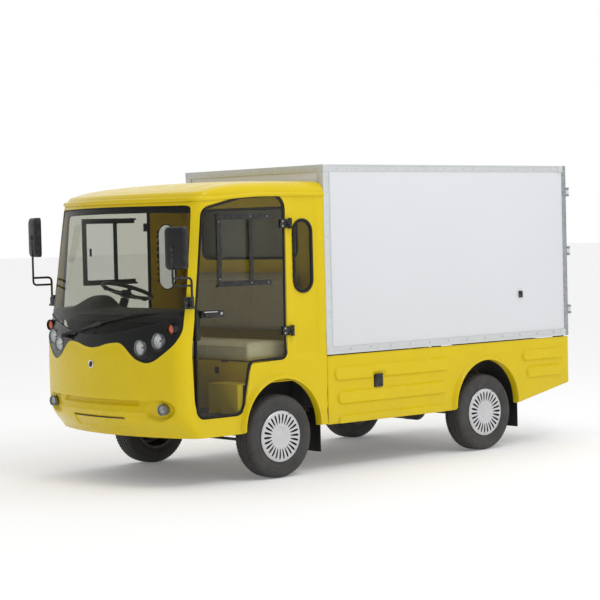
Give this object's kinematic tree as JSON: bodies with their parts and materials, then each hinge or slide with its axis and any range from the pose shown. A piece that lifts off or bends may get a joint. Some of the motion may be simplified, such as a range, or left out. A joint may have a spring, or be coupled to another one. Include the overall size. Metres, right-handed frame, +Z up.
{
  "type": "mail delivery truck",
  "caption": "Small electric mail truck: moulded yellow cab with glazed hinged doors, folding mirrors and a bench seat, and a white box body with swinging rear doors on a ladder frame.",
  "frame": {"origin": "on the ground, at the centre of the truck's length and width", "axes": "+X to the truck's left, -Y forwards, +Y to the rear doors, +Z up"},
  "size_m": [1.7724, 3.99, 2.1],
  "materials": {
    "yellow_moulding": "glossy gel coat",
    "mask_black": "gloss",
    "trim_black": "satin",
    "interior_grey": "grained",
    "rubber": "matte",
    "tyre": "matte",
    "chassis_black": "satin",
    "control_black": "satin",
    "rim_silver": "satin",
    "clear_glass": "clear",
    "lamp_clear": "clear, faceted",
    "box_white": "glossy gel coat",
    "box_aluminium": "mill finish",
    "rear_frame_steel": "satin",
    "rod_steel": "zinc plated",
    "battery_case": "matte",
    "seat_cream": "vinyl",
    "backrest_beige": "vinyl"
  },
  "bodies": {
    "chassis": {"chassis_frame": "chassis_black", "front_axle": "chassis_black", "rear_axle": "chassis_black", "suspension": "chassis_black", "battery_pack": "battery_case", "cab_floor": "chassis_black", "cab_front": "yellow_moulding", "cab_sides": "yellow_moulding", "cab_roof": "yellow_moulding", "cab_back": "yellow_moulding", "fixed_glass": "clear_glass", "window_seals": "rubber", "lamp_mask": "mask_black", "lamps": "lamp_clear", "dashboard": "interior_grey", "steering_column": "interior_grey", "seat_base": "yellow_moulding", "seat_backrest": "backrest_beige", "box_panels": "box_white", "box_trim": "box_aluminium", "box_rear_frame": "rear_frame_steel", "side_skirts": "yellow_moulding", "mud_flaps": "rubber", "body_fittings": "trim_black"},
    "knuckle_l": {"knuckle_l": "chassis_black"},
    "knuckle_r": {"knuckle_r": "chassis_black"},
    "tie_rod": {"tie_rod": "chassis_black"},
    "wheel_fl": {"tyre_fl": "tyre", "rim_fl": "rim_silver"},
    "wheel_fr": {"tyre_fr": "tyre", "rim_fr": "rim_silver"},
    "wheel_rl": {"tyre_rl": "tyre", "rim_rl": "rim_silver"},
    "wheel_rr": {"tyre_rr": "tyre", "rim_rr": "rim_silver"},
    "steering_wheel": {"steering_wheel": "interior_grey"},
    "horn_button": {"horn_button": "interior_grey"},
    "selector_knob": {"selector_knob": "interior_grey"},
    "door_l": {"door_glass_l": "clear_glass", "door_frame_l": "trim_black"},
    "door_r": {"door_glass_r": "clear_glass", "door_frame_r": "trim_black"},
    "sliding_pane_l": {"sliding_pane_l": "clear_glass"},
    "sliding_pane_r": {"sliding_pane_r": "clear_glass"},
    "door_handle_l": {"door_handle_l": "trim_black"},
    "door_handle_r": {"door_handle_r": "trim_black"},
    "rear_door_l": {"rear_door_l": "box_white"},
    "rear_door_r": {"rear_door_r": "box_white"},
    "lock_rod_l": {"lock_rod_l": "rod_steel"},
    "lock_rod_r": {"lock_rod_r": "rod_steel"},
    "wiper": {"wiper": "trim_black"},
    "mirror_arm_l": {"mirror_arm_l": "trim_black"},
    "mirror_arm_r": {"mirror_arm_r": "trim_black"},
    "mirror_head_l": {"mirror_head_l": "trim_black"},
    "mirror_head_r": {"mirror_head_r": "trim_black"},
    "brake_pedal": {"brake_pedal": "control_black"},
    "accelerator_pedal": {"accelerator_pedal": "control_black"},
    "parking_brake": {"parking_brake_lever": "control_black"},
    "charge_cap": {"charge_cap": "trim_black"},
    "seat": {"seat_cushion": "seat_cream"}
  },
  "joints": [
    {"name": "steering", "type": "hinge", "parent": "chassis", "child": "steering_wheel", "pos_m": [-0.32, -1.448, 1.264], "axis": [0, 0.342, 0.9397], "range_deg": [-540, 540]},
    {"name": "horn_press", "type": "slide", "parent": "steering_wheel", "child": "horn_button", "axis": [0, -0.342, -0.9397], "range_m": [0, 0.003], "stiffness_N_per_m": 600},
    {"name": "steer_l", "type": "hinge", "parent": "chassis", "child": "knuckle_l", "pos_m": [0.575, -1.005, 0.2805], "axis": [0, 0, 1], "range_deg": [-30.5, 30.5]},
    {"name": "steer_r", "type": "hinge", "parent": "chassis", "child": "knuckle_r", "pos_m": [-0.575, -1.005, 0.2805], "axis": [0, 0, 1], "range_deg": [-30.5, 30.5]},
    {"name": "tie_rod_slide", "type": "slide", "parent": "chassis", "child": "tie_rod", "axis": [1, 0, 0], "range_m": [-0.07, 0.07]},
    {"name": "spin_fl", "type": "hinge", "parent": "knuckle_l", "child": "wheel_fl", "pos_m": [0.685, -1.005, 0.2805], "axis": [1, 0, 0], "continuous": true},
    {"name": "spin_fr", "type": "hinge", "parent": "knuckle_r", "child": "wheel_fr", "pos_m": [-0.685, -1.005, 0.2805], "axis": [1, 0, 0], "continuous": true},
    {"name": "spin_rl", "type": "hinge", "parent": "chassis", "child": "wheel_rl", "pos_m": [0.685, 0.995, 0.2805], "axis": [1, 0, 0], "continuous": true},
    {"name": "spin_rr", "type": "hinge", "parent": "chassis", "child": "wheel_rr", "pos_m": [-0.685, 0.995, 0.2805], "axis": [1, 0, 0], "continuous": true},
    {"name": "selector_turn", "type": "hinge", "parent": "chassis", "child": "selector_knob", "pos_m": [-0.16, -1.622, 1.05], "axis": [0, 1, 0], "range_deg": [-45, 45]},
    {"name": "door_l", "type": "hinge", "parent": "chassis", "child": "door_l", "pos_m": [0.773, -0.886, 1.3], "axis": [0, 0, 1], "range_deg": [0, 80]},
    {"name": "pane_l", "type": "slide", "parent": "door_l", "child": "sliding_pane_l", "axis": [0, 1, 0], "range_m": [0, 0.165]},
    {"name": "handle_l", "type": "hinge", "parent": "door_l", "child": "door_handle_l", "pos_m": [0.772, -1.585, 1.14], "axis": [0, -1, 0], "range_deg": [0, 25], "stiffness_Nm_per_rad": 0.5},
    {"name": "rear_door_l", "type": "hinge", "parent": "chassis", "child": "rear_door_l", "pos_m": [0.757, 1.978, 1.4], "axis": [0, 0, -1], "range_deg": [0, 250]},
    {"name": "lock_l", "type": "hinge", "parent": "rear_door_l", "child": "lock_rod_l", "pos_m": [0.07, 1.976, 1.26], "axis": [0, 0, 1], "range_deg": [0, 90]},
    {"name": "mirror_fold_l", "type": "hinge", "parent": "chassis", "child": "mirror_arm_l", "pos_m": [0.792, -1.753, 1.206], "axis": [0, 0, 1], "range_deg": [0, 50]},
    {"name": "mirror_turn_l", "type": "hinge", "parent": "mirror_arm_l", "child": "mirror_head_l", "pos_m": [0.792, -1.905, 1.559], "axis": [0, 0, 1], "range_deg": [-20, 20]},
    {"name": "door_r", "type": "hinge", "parent": "chassis", "child": "door_r", "pos_m": [-0.773, -0.886, 1.3], "axis": [0, 0, -1], "range_deg": [0, 80]},
    {"name": "pane_r", "type": "slide", "parent": "door_r", "child": "sliding_pane_r", "axis": [0, 1, 0], "range_m": [0, 0.165]},
    {"name": "handle_r", "type": "hinge", "parent": "door_r", "child": "door_handle_r", "pos_m": [-0.772, -1.585, 1.14], "axis": [0, 1, 0], "range_deg": [0, 25], "stiffness_Nm_per_rad": 0.5},
    {"name": "rear_door_r", "type": "hinge", "parent": "chassis", "child": "rear_door_r", "pos_m": [-0.757, 1.978, 1.4], "axis": [0, 0, 1], "range_deg": [0, 250]},
    {"name": "lock_r", "type": "hinge", "parent": "rear_door_r", "child": "lock_rod_r", "pos_m": [-0.07, 1.976, 1.26], "axis": [0, 0, -1], "range_deg": [0, 90]},
    {"name": "mirror_fold_r", "type": "hinge", "parent": "chassis", "child": "mirror_arm_r", "pos_m": [-0.792, -1.753, 1.206], "axis": [0, 0, -1], "range_deg": [0, 50]},
    {"name": "mirror_turn_r", "type": "hinge", "parent": "mirror_arm_r", "child": "mirror_head_r", "pos_m": [-0.792, -1.905, 1.649], "axis": [0, 0, -1], "range_deg": [-20, 20]},
    {"name": "wiper_sweep", "type": "hinge", "parent": "chassis", "child": "wiper", "pos_m": [-0.33, -1.982, 0.985], "axis": [0, -0.9848, 0.1736], "range_deg": [0, 80]},
    {"name": "brake_press", "type": "hinge", "parent": "chassis", "child": "brake_pedal", "pos_m": [-0.4, -1.83, 0.78], "axis": [-1, 0, 0], "range_deg": [0, 18], "stiffness_Nm_per_rad": 30},
    {"name": "accelerator_press", "type": "hinge", "parent": "chassis", "child": "accelerator_pedal", "pos_m": [-0.24, -1.83, 0.78], "axis": [-1, 0, 0], "range_deg": [0, 15], "stiffness_Nm_per_rad": 12},
    {"name": "parking_brake", "type": "hinge", "parent": "chassis", "child": "parking_brake", "pos_m": [-0.06, -1.215, 0.545], "axis": [-1, 0, 0], "range_deg": [0, 30]},
    {"name": "charge_cap", "type": "hinge", "parent": "chassis", "child": "charge_cap", "pos_m": [0.765, -0.085, 0.634], "axis": [0, -1, 0], "range_deg": [0, 110]},
    {"name": "seat_tip", "type": "hinge", "parent": "chassis", "child": "seat", "pos_m": [0, -1.199, 0.786], "axis": [1, 0, 0], "range_deg": [0, 60]}
  ],
  "couplings": [
    {"joint": "steer_l", "follows": "steering", "ratio": 0.055556},
    {"joint": "steer_r", "follows": "steering", "ratio": 0.055556},
    {"joint": "tie_rod_slide", "follows": "steering", "m_per_rad": -0.0072222}
  ]
}
